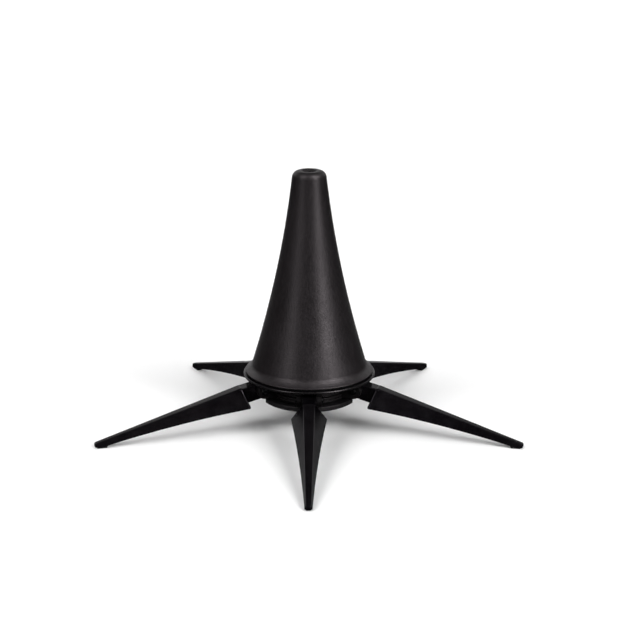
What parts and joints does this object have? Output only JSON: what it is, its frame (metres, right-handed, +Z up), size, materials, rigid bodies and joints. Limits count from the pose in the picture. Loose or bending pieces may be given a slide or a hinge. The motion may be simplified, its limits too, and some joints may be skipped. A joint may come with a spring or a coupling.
{
  "type": "folding clarinet stand",
  "caption": "Black tapered hollow peg with a flared rim on a small round hub with folding channel legs; holds a clarinet upright by its bell.",
  "frame": {"origin": "centre of the flat underside of the base plate, on the axis of the peg", "axes": "+Z up along the peg axis; one leg points along -Y and the others follow every 72 degrees"},
  "size_m": [0.1904, 0.1812, 0.1189],
  "materials": {
    "peg": "satin, finely textured",
    "washer": "matt",
    "hub": "satin",
    "plate": "satin",
    "leg": "semi-gloss black powder coat on a zinc die casting",
    "pad": "matt",
    "pin": "blackened",
    "screw": "blackened"
  },
  "bodies": {
    "hub": {"hub_body": "hub", "base_plate": "plate", "hinge_pin_1": "pin", "hinge_pin_2": "pin", "hinge_pin_3": "pin", "hinge_pin_4": "pin", "hinge_pin_5": "pin", "hub_screw_1": "screw", "hub_screw_2": "screw", "hub_screw_3": "screw", "hub_screw_4": "screw", "hub_screw_5": "screw"},
    "washer": {"friction_washer": "washer"},
    "peg": {"peg_cone": "peg"},
    "leg_1": {"leg_1": "leg", "foot_pad_1": "pad"},
    "leg_2": {"leg_2": "leg", "foot_pad_2": "pad"},
    "leg_3": {"leg_3": "leg", "foot_pad_3": "pad"},
    "leg_4": {"leg_4": "leg", "foot_pad_4": "pad"},
    "leg_5": {"leg_5": "leg", "foot_pad_5": "pad"}
  },
  "joints": [
    {"name": "leg_fold_1", "type": "hinge", "parent": "hub", "child": "leg_1", "pos_m": [0, -0.0225, 0.0066], "axis": [1, 0, 0], "range_deg": [0, 88]},
    {"name": "leg_fold_2", "type": "hinge", "parent": "hub", "child": "leg_2", "pos_m": [0.0214, -0.00695, 0.0066], "axis": [0.309, 0.9511, 0], "range_deg": [0, 88]},
    {"name": "leg_fold_3", "type": "hinge", "parent": "hub", "child": "leg_3", "pos_m": [0.01323, 0.0182, 0.0066], "axis": [-0.809, 0.5878, 0], "range_deg": [0, 88]},
    {"name": "leg_fold_4", "type": "hinge", "parent": "hub", "child": "leg_4", "pos_m": [-0.01323, 0.0182, 0.0066], "axis": [-0.809, -0.5878, 0], "range_deg": [0, 88]},
    {"name": "leg_fold_5", "type": "hinge", "parent": "hub", "child": "leg_5", "pos_m": [-0.0214, -0.00695, 0.0066], "axis": [0.309, -0.9511, 0], "range_deg": [0, 88]},
    {"name": "peg_turn", "type": "hinge", "parent": "hub", "child": "washer", "pos_m": [0, 0, 0.0129], "axis": [0, 0, 1], "range_deg": [0, 900]},
    {"name": "peg_rise", "type": "slide", "parent": "washer", "child": "peg", "axis": [0, 0, 1], "range_m": [0, 0.0075]}
  ],
  "couplings": [
    {"joint": "peg_rise", "follows": "peg_turn", "m_per_rad": 0.00047746}
  ]
}
